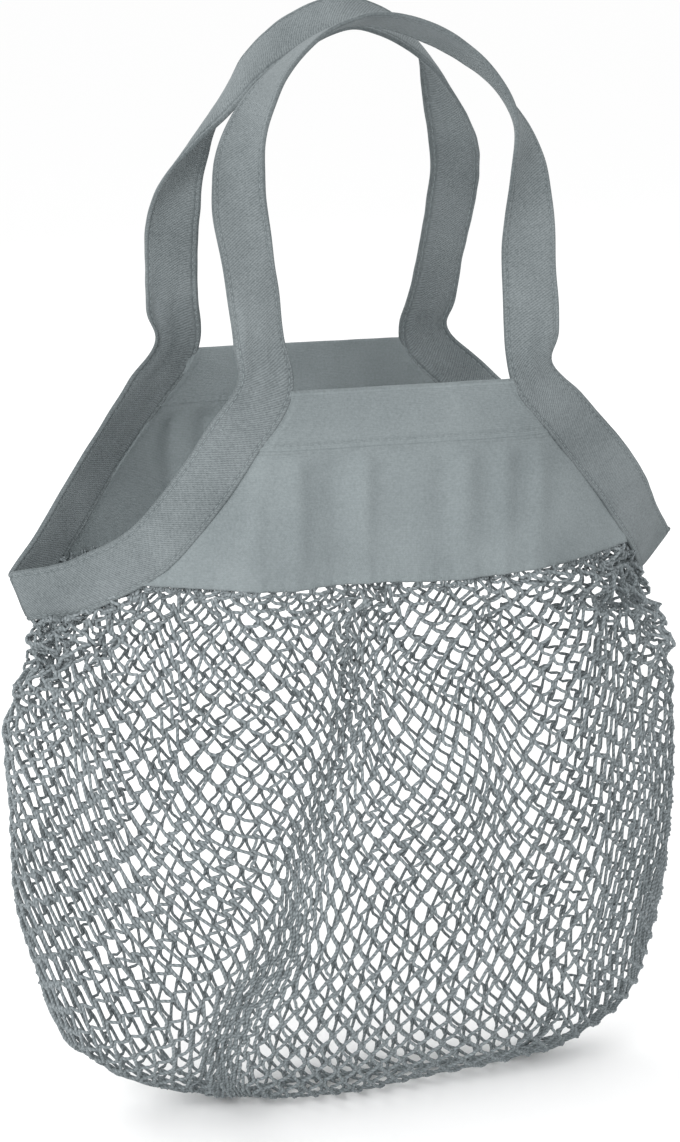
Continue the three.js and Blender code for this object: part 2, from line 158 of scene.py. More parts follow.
def arch_frames(side, hand):
    """Middle and across direction of half a handle, from above the hem to the top."""
    half = HALVES[(HALVES.side == side) & (HALVES.hand == hand)][0]
    hem_y = abs(cloth_point(side, LEG_X, HEM_Z)[1])
    top_y = ARCH_SPACING / 2
    top_z = HANDLE_RISE + TAPE_THICKNESS / 2 - (FRONT_ARCH_DIP if side < 0 else BACK_ARCH_DIP)
    spread = 0 if side < 0 else BACK_SPREAD
    x = ARCH.side * LEG_X + spread * np.sin(np.pi * ARCH.rise) + ARCH.shoulder * half.shoulder
    middle = np.stack([
        hand * x + ARCH_SHIFT * smoothstep(ARCH.rise, 0.5, 0.85),
        side * (hem_y + (top_y - hem_y) * ARCH.lean),
        HEM_Z + ARCH.rise * top_z,
    ], -1)
    before = np.vstack([cloth_point(side, hand * LEG_X, HEM_Z), middle[:-1]])
    mirrored = middle[-2:-1] * [-1, 1, 1] + [2 * middle[-1, 0], 0, 0]
    along = unit(np.vstack([middle[1:], mirrored]) - before)
    face = unit(np.array([0, side * top_z, hem_y - top_y]))
    out = unit(np.cross(along, face) * -side * hand)
    quarter = np.radians(FRONT_TURN if side < 0 else BACK_TURN)
    turn = (np.sign(ARCH.twist) * abs(ARCH.twist) ** half.lag * quarter)[:, None]
    normal = face * np.cos(turn) + out * np.sin(turn)
    return middle, unit(np.cross(normal, along) * side * hand)


def curve(points, places):
    """A smooth curve through points, read at places counted in points."""
    start = np.clip(np.floor(places).astype(int), 0, len(points) - 2)
    t = (places - start)[..., None]
    ends = np.vstack([2 * points[0] - points[1], points, 2 * points[-1] - points[-2]])
    a, b, c, d = (ends[start + k] for k in range(4))
    return b + 0.5 * t * (c - a + t * (2 * a - 5 * b + 4 * c - d + t * (3 * (b - c) + d - a)))


def handle_keys(side):
    """Middles and across directions of a handle, from its left corner over the top to the right."""
    left, right = ((slant_frames(side, hand), arch_frames(side, hand)) for hand in (-1, 1))
    return [
        np.vstack([left[0][k][::-1], left[1][k], right[1][k][-2::-1], right[0][k]])
        for k in (0, 1)
    ]


def lengths(line):
    """Length along a line of points up to each of them."""
    return np.concatenate([[0], np.cumsum(np.linalg.norm(np.diff(line, axis=0), axis=1))])


def evenly(line, count):
    """Places, counted in points, that divide a line into even steps."""
    along = lengths(line)
    return np.interp(np.linspace(0, along[-1], count), along, np.arange(len(line)))


def read_line(values, places):
    """Values along a line, read straight between its points at places counted in points."""
    return np.stack([np.interp(places, np.arange(len(values)), values[:, k]) for k in range(3)], -1)


def circles(one, other, count):
    """Unit circles of count points, from one direction towards the other."""
    turn = np.arange(count)[:, None] * 2 * np.pi / count
    return one[..., None, :] * np.cos(turn) + other[..., None, :] * np.sin(turn)


def new_piece(name, points, faces, uvs):
    """A smooth mesh from points in millimetres. Each face corner has its place in the weave."""
    mesh = bpy.data.meshes.new(name)
    flat_faces = [face for group in faces for face in group.tolist()]
    mesh.from_pydata((points * MM).tolist(), [], flat_faces)
    layer = mesh.uv_layers.new(name="weave")
    corners = np.concatenate([group.reshape(-1, 2) for group in uvs])
    layer.data.foreach_set("uv", (corners * MM).astype(np.float32).ravel())
    mesh.polygons.foreach_set("use_smooth", np.ones(len(mesh.polygons), bool))
    mesh.update()
    piece = bpy.data.objects.new(name, mesh)
    bpy.context.scene.collection.objects.link(piece)
    return piece


def swept(rings, around, along, first=0):
    """Faces and weave places of a closed body from rings of points, its ends closed.
    around is a ring's place in the weave, one more than its points, and along each ring's."""
    count, size = rings.shape[:2]
    i = np.arange(count - 1)[:, None] * size
    k = np.arange(size)[None, :]
    n = (k + 1) % size
    quads = np.stack([i + k, i + n, i + size + n, i + size + k], -1).reshape(-1, 4) + first
    u0, u1 = (np.broadcast_to(around[s:s + size], (count - 1, size)) for s in (0, 1))
    v0, v1 = (np.broadcast_to(along[s:s + count - 1, None], (count - 1, size)) for s in (0, 1))
    uv = np.stack([u0, v0, u1, v0, u1, v1, u0, v1], -1).reshape(-1, 4, 2)
    caps = np.array([k[0, ::-1], k[0] + (count - 1) * size]) + first
    cap_uv = np.stack([
        np.stack([around[:size][::-1], np.full(size, along[0])], -1),
        np.stack([around[:size], np.full(size, along[-1])], -1),
    ])
    return [quads, caps], [uv, cap_uv]


def waves(points, wavelength, amount, seed, count=14):
    """Smooth irregular shifts of points, the same on each run."""
    rng = np.random.default_rng(seed)
    pitch = unit(rng.normal(size=(count, 3))) * 2 * np.pi / (wavelength * rng.uniform(0.7, 1.6, (count, 1)))
    push = rng.normal(size=(count, 3)) * amount / np.sqrt(count)
    phase = rng.uniform(0, 2 * np.pi, count)
    return np.cos(points @ pitch.T + phase) @ push


# The tape's section from an edge to its middle: places, and heights of the face as shares of half
# the thickness. It has a groove where each row is stitched.
STITCH_INSET = 2.3
GROOVE = 0.32
EDGE_PLACES = np.array([0, 0.25, 0.9, 1.7, STITCH_INSET, 2.9, 3.8, 6.5, 9.6])
EDGE_HEIGHTS = np.array([0, 0.62, 0.95, 1.02, 1 - GROOVE, 1.0, 1.05, 1.08, 1.1])
TAPE_STEP = 2.2
CURL = 1.1
# Ripples across the tape's leg: their depth and length, how fast they slant, and where they are.
LEG_RIPPLE = 0.9
RIPPLE_ACROSS = 9
RIPPLE_SLANT = 14
RIPPLE_UP = 12
RIPPLE_REACH = 24
# Unevenness of the tape, as wavelength and amount.
TAPE_WAVE = (45, 0.35)
TAPE_DIMPLES = (14, 0.12)
# The short seam on the front left tape: its height, and the across places between which it runs.
SHORT_SEAM_Z = -183
SHORT_SEAM_FROM = 1
SHORT_SEAM_TO = 11.5


def tape_section():
    """Across place and height, as a share of half the thickness, of points round the tape."""
    half = np.concatenate([EDGE_PLACES - HALF_TAPE, [0], (HALF_TAPE - EDGE_PLACES)[::-1]])
    height = np.concatenate([EDGE_HEIGHTS, [1.11], EDGE_HEIGHTS[::-1]])
    place = np.concatenate([half, half[-2:0:-1]])
    return place, np.concatenate([height, -height[-2:0:-1]])


def tape_surface(side):
    """The handle's middle line and, for a place along and across it, its across direction."""
    middles, acrosses = handle_keys(side)
    # Round the fold at each corner, up to the middle plane between front and back tape.
    dense = np.linspace(0, len(middles) - 1, 2000)
    middle_line = curve(middles, dense)
    across_line = unit(curve(acrosses, dense))
    turn = np.linspace(0, np.pi / 2, 12)[1:, None]
    ends = []
    for end, near in ((0, 8), (-1, -9)):
        out = unit(middle_line[end] - middle_line[near])
        out = unit(out - across_line[end] * (out @ across_line[end]))
        inward = np.array([0, -side, 0]) * FOLD_SEAT
        ends.append(middle_line[end] + out * FOLD_SEAT * np.sin(turn) + inward * (1 - np.cos(turn)))
    line = np.vstack([ends[0][::-1], middle_line, ends[1]])
    directions = np.vstack([
        np.repeat(across_line[:1], len(turn), 0), across_line, np.repeat(across_line[-1:], len(turn), 0)
    ])
    return line, directions


def tape_points(side, line, directions, station, place):
    """Middle surface of the tape at stations (counted in points of line) and across places."""
    along = lengths(line)
    index = np.arange(len(line))
    s = np.interp(station, index, along)
    # Above the hem the tape curls: the edge towards the viewer turns over later than the other.
    middle = read_line(line, station)
    rise = (middle[:, 2] - HEM_Z) / HANDLE_RISE
    hand = np.where(s < along[-1] / 2, -1, 1)
    curl = -hand * side * CURL * smoothstep(rise, 0.15, 0.4) * (1 - smoothstep(rise, 0.8, 0.98))
    at = np.interp(s[:, None] + curl[:, None] * place[None, :], along, index)
    across = unit(read_line(directions, at))
    return middle[:, None, :] + across * place[None, :, None], s


def handle_body(side):
    """Points round the tape, one ring for each station, and the stations' lengths."""
    line, directions = tape_surface(side)
    place, height = tape_section()
    stations = evenly(line, int(lengths(line)[-1] / TAPE_STEP))
    surface, s = tape_points(side, line, directions, stations, place)
    along = unit(np.gradient(surface, axis=0))
    left, _ = tape_points(side, line, directions, stations, place - 0.5)
    right, _ = tape_points(side, line, directions, stations, place + 0.5)
    normal = unit(np.cross(along, right - left)) * -side
    body = surface + normal * (height * TAPE_THICKNESS / 2)[None, :, None]
    # Soft lengthwise ripples where the tape bends at the hem, and slight unevenness all along.
    near_hem = np.exp(-((surface[..., 2] - HEM_Z - RIPPLE_UP) / RIPPLE_REACH) ** 2)
    near_hem *= smoothstep(place, 1 - HALF_TAPE, 8 - HALF_TAPE)
    phase = place * 2 * np.pi / RIPPLE_ACROSS + surface[..., 2] / RIPPLE_SLANT
    body += normal * (LEG_RIPPLE * near_hem * np.sin(phase))[..., None]
    body += waves(surface, *TAPE_WAVE, 3 + side) + waves(surface, *TAPE_DIMPLES, 8 + side)
    return body, s, place, normal


def node(tree, kind, links=None, **settings):
    """Adds a shader node, sets what is named and links or fills its inputs."""
    made = tree.nodes.new(kind)
    for name, value in settings.items():
        setattr(made, name, value)
    for name, value in (links or {}).items():
        if isinstance(value, bpy.types.NodeSocket):
            tree.links.new(value, made.inputs[name])
        else:
            made.inputs[name].default_value = value
    return made


def linear(colour):
    """An sRGB hex colour as linear red, green, blue and alpha."""
    parts = np.array([int(colour[i:i + 2], 16) for i in (1, 3, 5)]) / 255
    return (*np.where(parts <= 0.04045, parts / 12.92, ((parts + 0.055) / 1.055) ** 2.4), 1)


# Uneven dyeing shows as blotches about 36 mm across, and uneven yarn as slubs of about 1.1 mm.
BLOTCHES_A_METRE = 28
SLUBS_A_METRE = 900


def cotton(name, light, dark, roughness, sheen):
    """A dyed cotton cloth's shader, and what its weave is then drawn with."""
    material = bpy.data.materials.new(name)
    material.use_nodes = True
    tree = material.node_tree
    shader = tree.nodes["Principled BSDF"]
    shader.inputs["Roughness"].default_value = roughness
    shader.inputs["Specular IOR Level"].default_value = 0.25
    shader.inputs["Sheen Weight"].default_value = sheen
    shader.inputs["Sheen Roughness"].default_value = 0.5
    shader.inputs["Sheen Tint"].default_value = linear(light)
    place = node(tree, "ShaderNodeUVMap", uv_map="weave").outputs["UV"]
    where = node(tree, "ShaderNodeTexCoord").outputs["Object"]
    blotch = node(tree, "ShaderNodeTexNoise", {"Vector": where, "Scale": BLOTCHES_A_METRE, "Detail": 3})
    slub = node(tree, "ShaderNodeTexNoise", {"Vector": where, "Scale": SLUBS_A_METRE, "Detail": 2})
    uneven = node(tree, "ShaderNodeMath", {
        0: blotch.outputs["Fac"], 1: slub.outputs["Fac"],
    }, operation="ADD")
    shade = node(tree, "ShaderNodeMapRange", {
        "Value": uneven.outputs[0], "From Min": 0.6, "From Max": 1.4, "To Min": 0.0, "To Max": 0.55,
    })
    return SimpleNamespace(
        material=material, tree=tree, shader=shader, place=place,
        shade=shade.outputs["Result"], light=linear(light), dark=linear(dark),
    )


def finish_cotton(cloth, height, depth, painted_hollow_shade):
    """Colours the cloth by its weave's height, with painted shade where the weave is low, and raises it."""
    tree, shader = cloth.tree, cloth.shader
    # Painted shade in the weave's hollows: the lower the weave, the darker the colour, up to the given
    # strength.
    low = node(tree, "ShaderNodeMapRange", {
        "Value": height, "From Min": 0.0, "From Max": 1.0, "To Min": painted_hollow_shade, "To Max": 0.0,
    })
    both = node(tree, "ShaderNodeMath", {
        0: cloth.shade, 1: low.outputs["Result"],
    }, operation="ADD", use_clamp=True)
    colour = node(tree, "ShaderNodeMix", {
        "Factor": both.outputs[0], "A": cloth.light, "B": cloth.dark,
    }, data_type="RGBA")
    tree.links.new(colour.outputs["Result"], shader.inputs["Base Color"])
    bump = node(tree, "ShaderNodeBump", {"Height": height, "Strength": 0.9, "Distance": depth * MM})
    tree.links.new(bump.outputs["Normal"], shader.inputs["Normal"])
    return cloth.material


def ridges(cloth, across, along):
    """Height of ridges, so many millimetres apart across and along the weave, or None."""
    tree = cloth.tree
    parts = node(tree, "ShaderNodeSeparateXYZ", {"Vector": cloth.place})
    turns = [
        node(tree, "ShaderNodeMath", {
            0: parts.outputs[k], 1: 2 * np.pi / (length * MM),
        }, operation="MULTIPLY")
        for k, length in enumerate((across, along)) if length
    ]
    total = turns[0]
    if len(turns) == 2:
        total = node(tree, "ShaderNodeMath", {
            0: turns[0].outputs[0], 1: turns[1].outputs[0],
        }, operation="ADD")
    wave = node(tree, "ShaderNodeMath", {0: total.outputs[0]}, operation="SINE")
    return node(tree, "ShaderNodeMapRange", {"Value": wave.outputs[0], "From Min": -1.0}).outputs["Result"]


# Cotton twill tape, dyed grey. The twill's ribs run over it at a slant, about 0.8 mm apart on the
# real tape. They are drawn 1.1 mm apart, the closest that still shows. Fine threads cross them.
TWILL_ACROSS = 1.9
TWILL_ALONG = 1.3
CROSS_THREADS = 0.8
RIB_SHARE = 0.7
# How far from a row of stitches the painted shade in its groove is darkest and ends, the same for
# the painted shadow line at the tape's edge, and how far the edge sinks below the rows and darkens.
ROW_DARKEST = 0.2
ROW_ENDS = 0.8
EDGE_DARKEST = 0.25
EDGE_ENDS = 0.75
EDGE_DEPTH = 0.8
twill = cotton("twill_tape_dyed_grey", "#878E90", "#474E50", roughness=0.92, sheen=0.25)
ribs = ridges(twill, TWILL_ACROSS, TWILL_ALONG)
threads = ridges(twill, None, CROSS_THREADS)
fine = node(twill.tree, "ShaderNodeMath", {0: threads, 1: 1 - RIB_SHARE}, operation="MULTIPLY")
woven = node(twill.tree, "ShaderNodeMath", {
    0: ribs, 1: RIB_SHARE, 2: fine.outputs[0],
}, operation="MULTIPLY_ADD")
# Along each row of stitches the tape is drawn into a groove, and painted shade darkens the groove.
seat = node(twill.tree, "ShaderNodeSeparateXYZ", {"Vector": twill.place})
from_middle = node(twill.tree, "ShaderNodeMath", {0: seat.outputs[0]}, operation="ABSOLUTE")
from_row = node(twill.tree, "ShaderNodeMath", {
    0: from_middle.outputs[0], 1: (HALF_TAPE - STITCH_INSET) * MM,
}, operation="SUBTRACT")
distance = node(twill.tree, "ShaderNodeMath", {0: from_row.outputs[0]}, operation="ABSOLUTE")
row_groove_shade = node(twill.tree, "ShaderNodeMapRange", {
    "Value": distance.outputs[0], "From Min": ROW_DARKEST * MM, "From Max": ROW_ENDS * MM,
    "To Min": 0.0, "To Max": 1.0,
})
# Painted shadow line along each folded edge of the tape, where the edge also sinks in the bump.
edge = node(twill.tree, "ShaderNodeMapRange", {
    "Value": from_middle.outputs[0], "From Min": (HALF_TAPE - EDGE_ENDS) * MM,
    "From Max": (HALF_TAPE - EDGE_DARKEST) * MM, "To Min": 1.0, "To Max": -EDGE_DEPTH,
})
# The weave's height, lowered by the painted shade at the rows and the edges, gives both colour and bump.
raised = node(twill.tree, "ShaderNodeMath", {
    0: row_groove_shade.outputs["Result"], 1: edge.outputs["Result"],
}, operation="MINIMUM")
relief_and_painted_shade = node(twill.tree, "ShaderNodeMath", {
    0: woven.outputs[0], 1: raised.outputs[0],
}, operation="MULTIPLY")
twill_tape = finish_cotton(twill, relief_and_painted_shade.outputs[0], depth=0.24, painted_hollow_shade=0.42)

# Sewing thread, a little lighter than the tape, which lies in its own row of dents.
thread = cotton("sewing_thread_grey", "#8B9395", "#656D6F", roughness=0.7, sheen=0.1)
thread_twist = ridges(thread, 1.2, 0.6)
sewing_thread = finish_cotton(thread, thread_twist, depth=0.05, painted_hollow_shade=0.2)

STITCH_LENGTH = 2.9
STITCH_PITCH = 3.5
THREAD = 0.56
# A stitch's middle stands this share of its thickness out of the cloth, its ends dip this much.
STITCH_RISE = 0.12
STITCH_DIP = 0.5
STITCH_SIDES = 5
# Rings of one stitch: place along it and share of its girth.
STITCH_RINGS = table("along girth", (-0.5, 0.25), (-0.38, 0.85), (0, 1), (0.38, 0.85), (0.5, 0.25))


def stitches(name, rows):
    """Short raised stitches along rows, each a line of points with the cloth's outward normals."""
    points, faces, uvs = [], [], []
    total = 0
    for line, normals in rows:
        along = lengths(line)
        centres = np.arange(STITCH_PITCH, along[-1] - STITCH_PITCH, STITCH_PITCH)
        for centre in centres:
            s = centre + STITCH_RINGS.along * STITCH_LENGTH
            at = np.interp(s, along, np.arange(len(line)))
            middle = read_line(line, at)
            up = unit(read_line(normals, at))
            direction = unit(np.gradient(middle, axis=0))
            sideways = unit(np.cross(direction, up))
            radius = (STITCH_RINGS.girth * THREAD / 2)[:, None, None]
            dip = STITCH_DIP * (2 * STITCH_RINGS.along[:, None]) ** 4
            middle = middle + up * (STITCH_RISE - dip) * THREAD
            rings = middle[:, None] + radius * circles(sideways, up, STITCH_SIDES)
            body_faces, body_uvs = swept(rings, np.linspace(0, 2, STITCH_SIDES + 1), s, total)
            points.append(rings.reshape(-1, 3))
            faces.append(body_faces)
            uvs.append(body_uvs)
            total += rings.shape[0] * rings.shape[1]
    piece = new_piece(
        name,
        np.concatenate(points),
        [group for pair in faces for group in pair],
        [group for pair in uvs for group in pair],
    )
    piece.data.materials.append(sewing_thread)
    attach(piece, "root")
    return piece


for side, which in ((-1, "front"), (1, "back")):
    body, stations, place, normal = handle_body(side)
    around = np.concatenate([place, place[:1]])
    # The back tape's rings run the other way round, so that its faces point outwards too.
    rings, around = (body, around) if side < 0 else (body[:, ::-1], around[::-1])
    handle = new_piece(f"{which}_handle_tape", rings.reshape(-1, 3), *swept(rings, around, stations))
    handle.data.materials.append(twill_tape)
    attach(handle, "root")
    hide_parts(f"{which}_handle")
    # A row of stitches in each groove, on both faces.
    face_points = 2 * len(EDGE_PLACES) + 1
    groove = int(np.flatnonzero(EDGE_PLACES == STITCH_INSET)[0])
    rows = []
    for k in (groove, face_points - 1 - groove):
        rows.append((body[:, k], normal[:, k]))
        rows.append((body[:, -k], -normal[:, -k]))
    if side < 0:
        # The short seam's two rows lie one ring apart, on the left and a little below the hem.
        centre = body.mean(1)
        left = np.flatnonzero(centre[:, 0] < 0)
        at = left[np.argmin(abs(centre[left, 2] - SHORT_SEAM_Z))]
        outer = [k for k in range(face_points) if SHORT_SEAM_FROM < place[k] < SHORT_SEAM_TO]
        for shift in (0, 1):
            rows.append((body[at + shift, outer], normal[at + shift, outer]))
    seam = stitches(f"{which}_handle_stitches", rows)

# Cloth panels. Front and back of the mouth have a panel of plain-woven cotton, cut as a trapezoid.
# Its top edge is folded over as a wide hem and stitched once, its slanted edges run into the
# tape's fold, and its lower edge is sewn to the gathered net, so it hangs in soft upright folds.

PANEL_HEIGHT = 90
PANEL_THICKNESS = 1.2
HEM_THICKNESS = 2
HEM_STITCH_UP = 2.6
HEM_DENT = 0.5
HEM_DENT_REACH = 0.8
PANEL_LOW_Z = HEM_Z - PANEL_HEIGHT
UNDER_TAPE = 1.8
PANEL_COLUMNS = 150
HEM_ROWS = 16
PANEL_ROWS = 44
PUCKER = 0.35
PUCKER_REACH = 9
STITCH_PUCKER = 0.1
STITCH_PUCKER_REACH = 3.5
SEAM_DENT = 0.45
SEAM_DENT_REACH = 1.6
GATHER_PITCH = 6.8
HEM_ROW_POINTS = 260
# Unevenness of the cloth, as wavelength and amount.
PANEL_WAVE = (60, 0.5)
PANEL_DIMPLES = (16, 0.08)

# Soft folds under the hem: place and width as shares of half the panel's width, depth outwards.
PANEL_FOLDS = table(
    "across width depth",
    (-0.72, 0.16, -1.44),
    (-0.3, 0.2, 1.98),
    (0.12, 0.18, -1.26),
    (0.5, 0.16, 1.8),
)
# Upright creases that start at the hem's stitches: sideways place, width and depth outwards.
CREASES = table(
    "x width depth",
    (-71, 5.5, 3.4),
    (-51, 5.5, 2.9),
    (-33, 7, -2),
    (-19, 5.5, 3.2),
    (8, 9, 1.8),
    (29, 7, 3.9),
    (49, 5, 3),
    (68, 5.5, 3),
)


def sewn_edge(side, hand):
    """The tape's edge that panel and net are sewn to, from the corner to above the hem."""
    middles, acrosses = handle_keys(side)
    if hand > 0:
        middles, acrosses = middles[::-1], acrosses[::-1]
    places = np.linspace(0, len(SLANT) + 0.5, 120)
    return curve(middles, places) - unit(curve(acrosses, places)) * HALF_TAPE


def sewn_x(edge, z):
    """Sideways place of a sewn edge at a height."""
    return np.interp(z, edge[:, 2], edge[:, 0])


def panel_surface(side, share, z):
    """Middle surface of the cloth at shares of its width, from left to right, and heights."""
    left, right = (sewn_x(sewn_edge(side, hand), z) for hand in (-1, 1))
    x = left - UNDER_TAPE + (right - left + 2 * UNDER_TAPE) * share
    point = cloth_point(side, x, z)
    free = np.sin(np.pi * share) * smoothstep(HEM_Z - z, HEM_HEIGHT, PANEL_HEIGHT)
    for fold in PANEL_FOLDS:
        away = (2 * share - 1 - side * fold.across) / fold.width
        point[..., 1] += side * free * fold.depth * np.exp(-away * away)
    below = HEM_Z - HEM_HEIGHT - z
    creased = smoothstep(below, 0, 9) * (1 - 0.55 * smoothstep(below, 18, PANEL_HEIGHT - HEM_HEIGHT))
    creased *= smoothstep(np.sin(np.pi * share), 0.05, 0.4)
    for crease in CREASES:
        away = (x + side * crease.x) / crease.width
        point[..., 1] += side * creased * crease.depth * np.exp(-away * away)
    # The seam draws the cloth in along the tape's edge.
    from_tape = np.minimum(share, 1 - share) * (right - left + 2 * UNDER_TAPE) - UNDER_TAPE
    point[..., 1] -= side * SEAM_DENT * np.exp(-(np.maximum(from_tape, 0) / SEAM_DENT_REACH) ** 2)
    # Small puckers where the gathered net is sewn to the lower edge, and beside the hem's stitches.
    low = np.exp(-((z - PANEL_LOW_Z) / PUCKER_REACH) ** 2)
    near_stitch = np.exp(-((z - HEM_Z + HEM_HEIGHT) / STITCH_PUCKER_REACH) ** 2)
    point[..., 1] += side * PUCKER * low * np.sin(x * 2 * np.pi / GATHER_PITCH + 2 * np.sin(x / 17))
    point[..., 1] += side * STITCH_PUCKER * near_stitch * np.sin(x * 2 * np.pi / STITCH_PITCH)
    wave = waves(point, *PANEL_WAVE, 21 + side) * free[..., None]
    return point + wave + waves(point, *PANEL_DIMPLES, 23 + side)


def hem_thick(z):
    """Thickness of the cloth at a height: double above the hem's edge, dented by its stitches."""
    top = smoothstep(z, HEM_Z - HEM_HEIGHT - 0.2, HEM_Z - HEM_HEIGHT + 0.5)
    dent = HEM_DENT * np.exp(-((z - HEM_Z + HEM_HEIGHT - HEM_STITCH_UP) / HEM_DENT_REACH) ** 2)
    return PANEL_THICKNESS + (HEM_THICKNESS - PANEL_THICKNESS) * top - dent


# Plain-woven cotton, dyed a lighter grey than the tape looks. Its threads, about 0.45 mm apart,
# are drawn 0.8 mm apart so that the weave shows as a fine even grain.
WEAVE_PITCH = 0.8
plain = cotton("plain_weave_dyed_grey", "#8D9597", "#636B6D", roughness=0.95, sheen=0.2)
over = ridges(plain, WEAVE_PITCH, None)
under = ridges(plain, None, WEAVE_PITCH)
crossed = node(plain.tree, "ShaderNodeMath", {0: over, 1: under}, operation="MULTIPLY")
plain_cloth = finish_cotton(plain, crossed.outputs[0], depth=0.16, painted_hollow_shade=0.25)

low_heights = np.linspace(PANEL_LOW_Z, HEM_Z - HEM_HEIGHT - 0.6, PANEL_ROWS)
hem_heights = np.concatenate([
    HEM_Z - HEM_HEIGHT + np.array([-0.2, 0.15, 0.5, 1.4, 2.0, 2.6, 3.2, 3.8]),
    np.linspace(HEM_Z - HEM_HEIGHT + 5.5, HEM_Z - 0.8, HEM_ROWS),
])
heights = np.concatenate([low_heights, hem_heights])
# The ring of one column: up the outer face, over the folded top and down the inner face.
ring_z = np.concatenate([heights, [HEM_Z - 0.2, HEM_Z, HEM_Z - 0.2], heights[::-1], [PANEL_LOW_Z - 0.5]])
ring_face = np.concatenate([
    np.ones(len(heights)), [0.75, 0, -0.75], -np.ones(len(heights)), [0],
])
for side, which in ((-1, "front"), (1, "back")):
    shares = np.linspace(0, 1, PANEL_COLUMNS + 1)
    share, z = np.meshgrid(shares, ring_z, indexing="ij")
    surface = panel_surface(side, share, z)
    sideways = panel_surface(side, share + 0.002, z) - panel_surface(side, share - 0.002, z)
    upwards = panel_surface(side, share, z + 0.3) - panel_surface(side, share, z - 0.3)
    normal = unit(np.cross(sideways, upwards)) * -side
    body = surface + normal * (hem_thick(ring_z) / 2 * ring_face)[None, :, None]
    columns = lengths(surface[:, 0])
    ring_along = np.concatenate([ring_z, ring_z[:1]])
    if side < 0:
        body, ring_along = body[:, ::-1], ring_along[::-1]
    faces, uvs = swept(body, ring_along, columns)
    panel = new_piece(f"{which}_panel_cloth", body.reshape(-1, 3), faces, uvs)
    panel.data.materials.append(plain_cloth)
    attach(panel, "root")
    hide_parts(f"{which}_panel")
    seam_z = HEM_Z - HEM_HEIGHT + HEM_STITCH_UP
    row_share = np.linspace(0.015, 0.985, HEM_ROW_POINTS)
    row = panel_surface(side, row_share, np.full(HEM_ROW_POINTS, seam_z))
    row_normal = unit(np.gradient(row, axis=0)[:, [1, 0, 2]] * [side, -side, 0])
    lift = row_normal * hem_thick(seam_z) / 2
    seam = stitches(f"{which}_hem_stitches", [(row + lift, row_normal), (row - lift, -row_normal)])

# String net. The bag itself is a net of soft cotton string. Each string zigzags downwards and runs
# side by side with its neighbours in turn, which leaves openings in staggered rows. The net is
# gathered into the cloth at the top and closed by a seam along the bottom.

NET_HEIGHT = 265
NET_WIDTH = 340
NET_DEPTH = 156
NET_POWER = 2.3
HALF_COLUMNS = 78
NET_ROWS = 42
ROW_LENGTH = 7.8
STRING = 1.7
JUNCTION = 2.5
STRAND = 7.2
IN_CLOTH = 2.5
SEAM_CORD = 2.4
SIDE_SEAM_DOWN = 0.76

# The net's sections: share of the height, shares of half the width left and right, of the depth.
SECTIONS = table(
    "down left right depth",
    (0, 0.86, 0.9, 0.9),
    (0.085, 0.9, 0.955, 0.94),
    (0.18, 0.95, 0.98, 0.98),
    (0.29, 0.995, 0.985, 1),
    (0.405, 0.99, 1, 1),
    (0.52, 0.98, 0.99, 0.97),
    (0.61, 0.97, 0.975, 0.93),
    (0.705, 0.935, 0.96, 0.87),
    (0.8, 0.888, 0.935, 0.79),
    (0.875, 0.818, 0.903, 0.68),
    (0.93, 0.712, 0.835, 0.56),
    (0.97, 0.588, 0.747, 0.43),
    (0.992, 0.482, 0.67, 0.32),
    (1, 0.36, 0.53, 0.22),
)
# The share of the height over which the net leaves the mouth's outline.
LEFT_MOUTH_SHARE = 0.26
RIGHT_MOUTH_SHARE = 0.21

# Folds down the net: place as a share of half the width, how far it has drifted at the bottom,
# where the fold starts and ends as shares of the height, width as a share of half the width,
# depth inwards as a share of half the depth, and how many times closer its strings lie. Where
# that is below 0, there is hardly a fold and the strings lie further apart.
NET_FOLDS = table(
    "side across drift start end width depth gather",
    (-1, -0.1, -0.62, -0.3, 1.5, 0.09, 0.13, 2.4),
    (-1, 0.3, 0.04, -0.3, 1.0, 0.1, 0.07, 0.9),
    (-1, -0.66, 0.1, -0.3, 0.8, 0.1, 0.12, 1.2),
    (-1, 0.72, -0.04, -0.2, 1.0, 0.1, 0.09, 1.1),
    (-1, -0.88, 0.06, -0.4, 0.75, 0.09, 0.06, 1.6),
    (-1, 0.86, 0.04, -0.3, 1.0, 0.09, 0.05, 1),
    (-1, -0.66, 0, 0.15, 1.6, 0.2, 0.02, -0.5),
    (-1, 0.35, 0, 0.35, 1.6, 0.3, 0, -0.35),
    (1, 0.15, 0.1, 0, 0.7, 0.13, 0.1, 1.4),
    (1, -0.5, -0.06, 0, 0.6, 0.12, 0.08, 1.1),
    (1, -0.85, 0, -0.2, 0.7, 0.08, 0.05, 1.2),
    (1, 0.6, -0.1, 0.1, 0.8, 0.09, 0.06, 1.1),
    (1, 0.88, 0, -0.2, 0.9, 0.08, 0.05, 1.2),
)
# The share of the height over which a fold starts or ends, how much closer the strings lie under
# the panel and at the corners, and how much further apart along the sides.
FOLD_FADE = 0.5
HANGING_GATHER = 0.4
CORNER_GATHER = 0.6
CORNER_REACH = 22
SIDE_OPEN = 0.35
# How far the rows crowd up under the cloth, what a side adds to that, and the most of it.
TOP_CROWDING = 1.16
SIDE_CROWDING = 0.3
MOST_CROWDED = 1.7
LEVELS = 90
UNDER_LEVELS = 10
LINE_POINTS = 240


def resampled(line, count):
    return curve(line, evenly(line, count))


def rim_line(side):
    """Top edge of the net, from the right corner along tape and panel to the left corner."""
    right, left = sewn_edge(side, 1), sewn_edge(side, -1)
    ends = sewn_x(right, PANEL_LOW_Z), sewn_x(left, PANEL_LOW_Z)
    inset = UNDER_TAPE / (ends[0] - ends[1] + 2 * UNDER_TAPE)
    panel = panel_surface(side, np.linspace(1 - inset, inset, 120), np.full(120, PANEL_LOW_Z))
    below = [edge[edge[:, 2] < PANEL_LOW_Z] for edge in (right, left)]
    return resampled(np.vstack([below[0], panel, below[1][::-1]]), LINE_POINTS)


